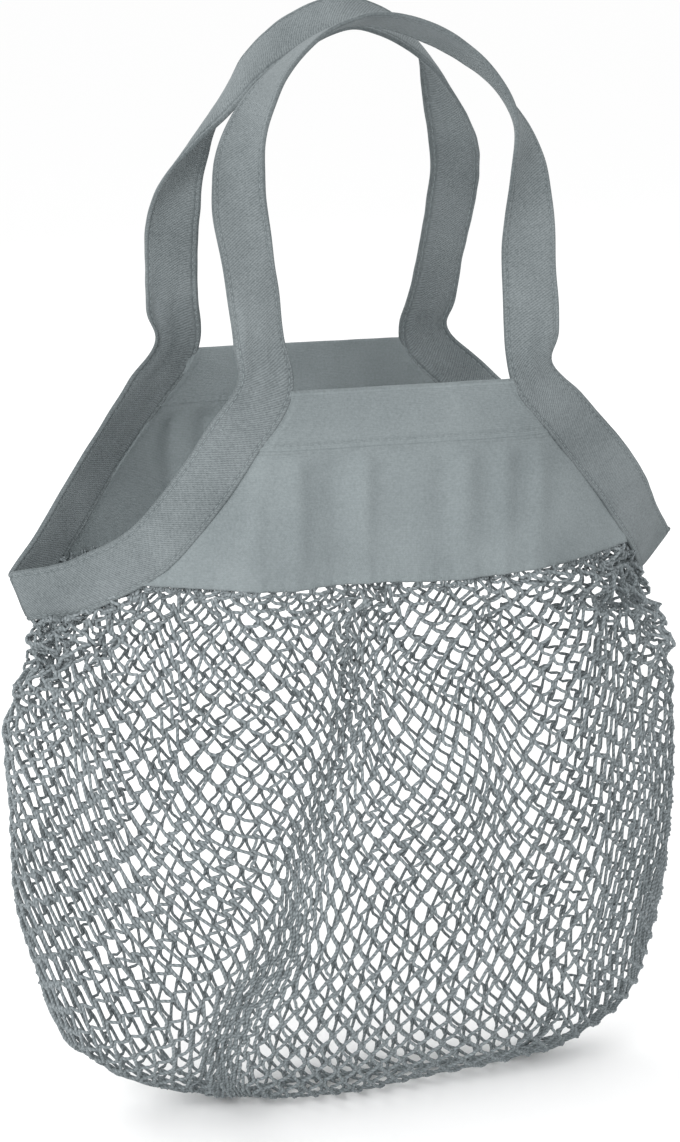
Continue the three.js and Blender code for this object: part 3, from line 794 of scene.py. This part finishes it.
def net_levels(side):
    """Level lines of the net on one side, from the top edge to the seam under the bottom."""
    rim = rim_line(side)
    angle = np.linspace(0, np.pi, 4 * LINE_POINTS)
    cos, sin = np.cos(angle), np.sin(angle)
    lines = []
    downs = np.concatenate([np.linspace(0, 1, LEVELS), np.ones(UNDER_LEVELS)])
    flats = np.concatenate([np.zeros(LEVELS), np.linspace(0, 1, UNDER_LEVELS + 1)[1:]])
    for down, flat in zip(downs, flats):
        left, right, depth = (
            np.interp(down, SECTIONS.down, SECTIONS[column]) for column in ("left", "right", "depth")
        )
        half = np.where(cos < 0, left, right) * NET_WIDTH / 2
        half_depth = depth * NET_DEPTH / 2
        section = np.stack([
            np.sign(cos) * half * abs(cos) ** (2 / NET_POWER),
            side * half_depth * abs(sin) ** (2 / NET_POWER) * (1 - flat),
            np.full_like(cos, PANEL_LOW_Z - down * NET_HEIGHT - flat),
        ], -1)
        section = resampled(section, LINE_POINTS)
        share = LEFT_MOUTH_SHARE + (RIGHT_MOUTH_SHARE - LEFT_MOUTH_SHARE) * smoothstep(
            section[:, 0], -CORNER_X, CORNER_X
        )
        turned = smoothstep(down, 0, share)[:, None]
        line = (rim - [0, 0, down * NET_HEIGHT]) * (1 - turned) + section * turned
        half = np.where(line[:, 0] < 0, left, right) * NET_WIDTH / 2
        # Under the panel the net first hangs straight, so its strings keep close together there.
        hanging = 1 - smoothstep(down, 0.1, 0.8)
        weight = 1 + HANGING_GATHER * hanging * np.exp(-(line[:, 0] / (0.6 * half)) ** 2)
        # At the side corners many strings start close together and fan out over the side.
        from_corner = (CORNER_X - abs(line[:, 0])) / CORNER_REACH
        weight += CORNER_GATHER * (1 - turned[:, 0]) * np.exp(-from_corner * from_corner)
        # Along the bag's side edges the net is drawn wide open.
        facing = abs(unit(np.gradient(line, axis=0))[:, 0])
        weight *= 1 - SIDE_OPEN * turned[:, 0] * (1 - facing)
        for fold in NET_FOLDS[NET_FOLDS.side == side]:
            away = (line[:, 0] - (fold.across + fold.drift * down**2) * half) / (fold.width * half)
            fade = smoothstep(down, fold.start, fold.start + FOLD_FADE)
            fade = fade * (1 - smoothstep(down, fold.end - FOLD_FADE, fold.end))
            dent = fade * np.exp(-away * away)
            line[:, 1] -= side * fold.depth * half_depth * dent * (1 - flat)
            weight += fold.gather * dent
        lines.append((line, weight))
    return downs, lines


def net_columns(side):
    """Places of every half column of openings, each from the top edge to the bottom seam."""
    downs, lines = net_levels(side)
    shares = np.linspace(0, 1, HALF_COLUMNS + 1)
    spread = []
    for line, weight in lines:
        steps = np.linalg.norm(np.diff(line, axis=0), axis=1) * (weight[1:] + weight[:-1]) / 2
        total = np.concatenate([[0], np.cumsum(steps)])
        spread.append((total, np.interp(0, -line[:, 0], total)))
    seam_level = int(np.argmin(abs(downs - SIDE_SEAM_DOWN)))
    full, split = spread[seam_level]
    centre = split / full[-1]
    points = np.empty((len(lines), len(shares), 3))
    ended = np.zeros(len(shares), bool)
    for level, ((line, _), (total, middle)) in enumerate(zip(lines, spread)):
        first, last = 0.0, 1.0
        if level > seam_level:
            # Below the side corners of the flat net, its outer columns end in the seam one by one.
            first = centre * (1 - min(middle / split, 1))
            last = 1 - (1 - centre) * (1 - min((total[-1] - middle) / (full[-1] - split), 1))
        place = (shares - first) / (last - first)
        at = np.interp(np.clip(place, 0, 1) * total[-1], total, np.arange(LINE_POINTS))
        points[level] = curve(line, at)
        if level:
            points[level, ended] = points[level - 1, ended]
        ended |= (place <= 0) | (place >= 1) if level > seam_level else False
    columns = []
    for k in range(len(shares)):
        along = lengths(points[:, k]) + np.arange(len(lines)) * 1e-6
        # A column with rows to spare hangs open at the bottom and crowds them under the cloth.
        aside = (2 * shares[k] - 1) ** 2
        crowding = ROW_LENGTH * NET_ROWS / along[-1] * (TOP_CROWDING + SIDE_CROWDING * aside)
        crowding = np.clip(crowding, 1, MOST_CROWDED)
        row = np.linspace(0, 1, NET_ROWS + 1) ** crowding
        columns.append(curve(points[:, k], np.interp(row * along[-1], along, np.arange(len(lines)))))
    return np.stack(columns, 1)


front_columns = net_columns(-1)
back_columns = net_columns(1)
# All half columns in turn: the front from right to left, then the back from left to right.
net = np.concatenate([front_columns, back_columns[:, -2:0:-1]], 1)
around_net = net.shape[1]
row_number = np.arange(NET_ROWS + 1.0)[:, None]

# Where rows lie closer than the first of these steps they start to crumple, at the second fully.
FREE_STEP = 6.6
CRUMPLED_STEP = 3.8
# Under the side corners the net always crumples: place, half width, half height and share.
CRUMPLE_X = 148
CRUMPLE_Z = -296
CRUMPLE_WIDE = 32
CRUMPLE_HIGH = 30
CRUMPLE_SHARE = 0.8
# Unevenness of the net, as wavelength and amount, and how far each junction is off by itself.
NET_WAVE = (60, 2.0)
NET_WAVELET = (24, 0.5)
CRUMPLE_WAVE = (15, 3.4)
JITTER = 0.3
CRUMPLE_JITTER = 0.9
row_step = np.linalg.norm(np.gradient(net, axis=0), axis=-1)
crowded = smoothstep(-row_step, -FREE_STEP, -CRUMPLED_STEP)
corner_x = (abs(net[..., 0]) - CRUMPLE_X) / CRUMPLE_WIDE
corner_z = (net[..., 2] - CRUMPLE_Z) / CRUMPLE_HIGH
crumpled = np.maximum(crowded, CRUMPLE_SHARE * np.exp(-corner_x ** 2 - corner_z ** 2))[..., None]
# The rows at the cloth and at the bottom seam stay where they are sewn.
free_rows = smoothstep(row_number, 0, 3) * smoothstep(-row_number, -NET_ROWS, -NET_ROWS + 2)
free_rows = free_rows[..., None]
rng = np.random.default_rng(7)
net = net + free_rows * (
    waves(net, *NET_WAVE, 31)
    + waves(net, *NET_WAVELET, 32)
    + waves(net, *CRUMPLE_WAVE, 33) * crumpled
    + rng.normal(size=net.shape) * (JITTER + CRUMPLE_JITTER * crumpled)
)

# Places on the front where the rows sag: centre, half width and height, and how far they sag.
SAGS = table("x z wide high drop", (-116, -390, 34, 58, 8), (60, -350, 60, 60, 4), (112, -430, 30, 40, 5))
for sag in SAGS:
    near = ((net[..., 0] - sag.x) / sag.wide) ** 2 + ((net[..., 2] - sag.z) / sag.high) ** 2
    net[..., 2] -= sag.drop * np.exp(-near) * (net[..., 1] < 0) * free_rows[..., 0]

# The strings keep their length: junctions and strands are drawn to it again and again, while
# each stays near its place. A tight strand pulls, and a slack one hardly pushes.
RELAX_STEPS = 90
STAY = 0.035
JUNCTION_PULL = 0.9
STRAND_PULL = 0.5
STRAND_PUSH = 0.06
UNEVEN_STRANDS = 0.06
down_way = unit(np.gradient(net, axis=0))
top, bottom = net - down_way * JUNCTION / 2, net + down_way * JUNCTION / 2
top[0] = net[0]
top_home, bottom_home = top.copy(), bottom.copy()
uneven = rng.uniform(1 - UNEVEN_STRANDS, 1 + UNEVEN_STRANDS, (2, NET_ROWS, around_net))
strand_length = STRAND * uneven


def drawn(a, b, rest, pull, push):
    """Half the move that brings two ends of a string to its length."""
    gap = b - a
    length = np.maximum(np.linalg.norm(gap, axis=-1, keepdims=True), 1e-6)
    over = length - rest
    return gap / length * over * np.where(over > 0, pull, push) / 2


for _ in range(RELAX_STEPS):
    move = drawn(top, bottom, JUNCTION, JUNCTION_PULL, JUNCTION_PULL)
    top, bottom = top + move, bottom - move
    for k, shift in enumerate((-1, 1)):
        below = np.roll(top[1:], shift, 1)
        move = drawn(bottom[:-1], below, strand_length[k][..., None], STRAND_PULL, STRAND_PUSH)
        bottom[:-1] += move
        top[1:] -= np.roll(move, -shift, 1)
    top += (top_home - top) * STAY
    bottom += (bottom_home - bottom) * STAY
    top[0], bottom[-1] = top_home[0], bottom_home[-1]

# Directions at each junction: down the string, across the net and out of the bag.
middle = (top + bottom) / 2
column_way = unit(bottom - top)
across_way = np.roll(middle, -1, 1) - np.roll(middle, 1, 1)
across_way = unit(across_way - column_way * (across_way * column_way).sum(-1, keepdims=True))
out_way = np.cross(across_way, column_way)
out_way *= np.sign((out_way * (middle - middle.mean((0, 1)))).sum(-1, keepdims=True).mean())

# One string for each gap between half columns: it meets its neighbours in turn.
STRING_SIDES = 5
JUNCTION_TWIST = 22
STRINGS_APART = 0.48
STRAND_BOW = 0.16
STRAND_THICK = 0.95
JUNCTION_THICK = 1.05
strings = np.arange(around_net)
in_row = (strings + (np.arange(NET_ROWS + 1)[:, None] + strings) % 2) % around_net
own_side = np.where(in_row == strings, 1.0, -1.0)[..., None]


def at_junction(values):
    return np.take_along_axis(values, in_row[..., None], 1)


# The two strings of a junction lie side by side and turn a little round each other.
offset = own_side * STRING * STRINGS_APART
turned = np.radians(np.where(row_number > 0, JUNCTION_TWIST, 0))[..., None]
sideways = at_junction(across_way) * offset * np.cos(turned)
outwards = at_junction(out_way) * offset * np.sin(turned)
place_top = at_junction(top) + sideways + outwards
place_bottom = at_junction(bottom) + sideways - outwards
controls = np.stack([place_top, place_bottom], 1).reshape(-1, around_net, 3)
outwards = np.repeat(at_junction(out_way), 2, 0)
# Each string starts in the cloth, above its first junction.
start = controls[:1] + [0, 0, IN_CLOTH]
controls = np.concatenate([start, controls])
outwards = np.concatenate([outwards[:1], outwards])
# A station at each control, and two more on each strand between junctions.
strand_start = np.arange(2, 2 * NET_ROWS + 1, 2)
extra = np.concatenate([strand_start + 1 / 3, strand_start + 2 / 3])
stations = np.sort(np.concatenate([np.arange(len(controls)), extra]))
paths = np.stack([curve(controls[:, k], stations) for k in range(around_net)], 1)
directions_out = np.stack([curve(outwards[:, k], stations) for k in range(around_net)], 1)
# A strand with length to spare hangs in a small bow.
spare = np.zeros((len(stations), around_net, 1))
gap = np.linalg.norm(controls[3::2] - controls[2:-1:2], axis=-1)
on_strand = (stations % 1 > 0) & (stations > 2)
spare_each = np.sqrt(np.maximum(STRAND**2 - gap**2, 0)) * STRAND_BOW
spare[on_strand] = np.repeat(spare_each, 2, 0)[..., None]
bow = unit(rng.normal(size=spare.shape[:2] + (3,)) * 0.25 + [0, 0, -0.6] + directions_out * 0.5)
paths = paths + bow * spare
along_string = unit(np.gradient(paths, axis=0))
sideways = unit(np.cross(along_string, directions_out))
upwards = np.cross(sideways, along_string)
thick = np.where(on_strand, STRAND_THICK, JUNCTION_THICK)
# The end in the cloth is thin, so that it stays inside it.
thick[:2] = 0.6, 0.85
thick = thick[:, None, None, None] * STRING / 2
rings = paths[:, :, None] + thick * circles(sideways, upwards, STRING_SIDES)

# Soft cotton string of two plies, whose twist shows as slanting ridges about 1.8 mm apart.
STRING_TURN = np.pi * STRING
PLY_LENGTH = 2.4
string = cotton("cotton_string_dyed_grey", "#959C9F", "#535B5D", roughness=0.95, sheen=0.3)
plies = ridges(string, STRING_TURN / 2, PLY_LENGTH)
cotton_string = finish_cotton(string, plies, depth=0.2, painted_hollow_shade=0.45)


def strung(name, bodies):
    """One piece of string from rings of points, each with its circumference in the twist."""
    points, faces, uvs = [], [], []
    total = 0
    for body, circumference in bodies:
        count, size = body.shape[:2]
        around = np.linspace(0, circumference, size + 1)
        body_faces, body_uvs = swept(body, around, lengths(body.mean(1)), total)
        points.append(body.reshape(-1, 3))
        faces.extend(body_faces)
        uvs.extend(body_uvs)
        total += count * size
    piece = new_piece(name, np.concatenate(points), faces, uvs)
    piece.data.materials.append(cotton_string)
    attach(piece, "root")
    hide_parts("net_bag")
    return piece


# The bottom seam: a thicker cord of thread along the ends of the strings, from side to side.
# Its stitches show as lumps along it.
SEAM_SIDES = 8
SEAM_LUMP = 0.12
SEAM_PITCH = 5
SEAM_WAVE = (20, 0.5)
seam_line = resampled(bottom[-1, :HALF_COLUMNS + 1], 2 * HALF_COLUMNS)
seam_way = unit(np.gradient(seam_line, axis=0))
back_way = np.array([0, 1, 0])
seam_side = unit(np.cross(seam_way, back_way))
lump = 1 + SEAM_LUMP * np.sin(lengths(seam_line) * 2 * np.pi / SEAM_PITCH)
seam_thick = SEAM_CORD / 2 * lump[:, None, None]
seam_cord = seam_line[:, None] + seam_thick * circles(seam_side, back_way, SEAM_SIDES)
seam_cord = seam_cord + waves(seam_line, *SEAM_WAVE, 41)[:, None]

half_way = around_net // 2
front_strings = [(rings[:, k], STRING_TURN) for k in range(half_way)]
back_strings = [(rings[:, k], STRING_TURN) for k in range(half_way, around_net)]
front_net = strung("front_string_net", front_strings + [(seam_cord, STRING_TURN * 1.5)])
back_net = strung("back_string_net", back_strings)

# Studio. A pale matt floor that runs far back, soft light from all round with a broad lamp at the
# front left and one behind, and the camera at the photograph's height, a little to the left.

FLOOR_GAP = 0.6
FLOOR_SIZE = 60
lowest = float(rings[..., 2].min()) * MM
bpy.ops.object.select_all(action="DESELECT")
bpy.ops.mesh.primitive_plane_add(size=FLOOR_SIZE, location=(0, 0, lowest - FLOOR_GAP * MM))
floor = bpy.context.object
floor.name = "floor"
paper = bpy.data.materials.new("matt_white_paper")
paper.use_nodes = True
paper_shader = paper.node_tree.nodes["Principled BSDF"]
paper_shader.inputs["Base Color"].default_value = linear("#F3F3F3")
paper_shader.inputs["Roughness"].default_value = 1.0
paper_shader.inputs["Specular IOR Level"].default_value = 0.0
floor.data.materials.append(paper)

world = bpy.data.worlds.new("studio")
world.use_nodes = True
world.node_tree.nodes["Background"].inputs["Color"].default_value = linear("#FFFFFF")
world.node_tree.nodes["Background"].inputs["Strength"].default_value = 1.1
bpy.context.scene.world = world
bpy.context.scene.view_settings.view_transform = "Standard"

CENTRE = Vector((0, 0, -0.262))
# Soft boxes: where they stand round the bag, their size in metres and their power.
LAMPS = table(
    "x y z width power",
    (-1.5, -1.5, 0.8, 0.9, 27),
    (-0.7, 1.8, 1.2, 1.6, 22),
)
for number, lamp in enumerate(LAMPS):
    light = bpy.data.lights.new(f"soft_box_{number}", "AREA")
    light.shape = "DISK"
    light.size = lamp.width
    light.energy = lamp.power
    box = bpy.data.objects.new(f"soft_box_{number}", light)
    box.location = (lamp.x, lamp.y, lamp.z)
    box.rotation_euler = (CENTRE - box.location).to_track_quat("-Z", "Y").to_euler()
    bpy.context.scene.collection.objects.link(box)

CAMERA_AZIMUTH = -20
CAMERA_ELEVATION = 12.5
CAMERA_DISTANCE = 1.45
CAMERA_AIM = Vector((-0.0045, 0, -0.262))
CAMERA_LENS = 96
turn, tilt = np.radians(CAMERA_AZIMUTH), np.radians(CAMERA_ELEVATION)
to_camera = Vector((np.sin(turn) * np.cos(tilt), -np.cos(turn) * np.cos(tilt), np.sin(tilt)))
camera = bpy.data.objects.new("camera", bpy.data.cameras.new("camera"))
camera.data.lens = CAMERA_LENS
camera.data.sensor_width = 36
camera.data.clip_end = 100
camera.location = CAMERA_AIM + to_camera * CAMERA_DISTANCE
camera.rotation_euler = (-to_camera).to_track_quat("-Z", "Y").to_euler()
bpy.context.scene.collection.objects.link(camera)
bpy.context.scene.camera = camera
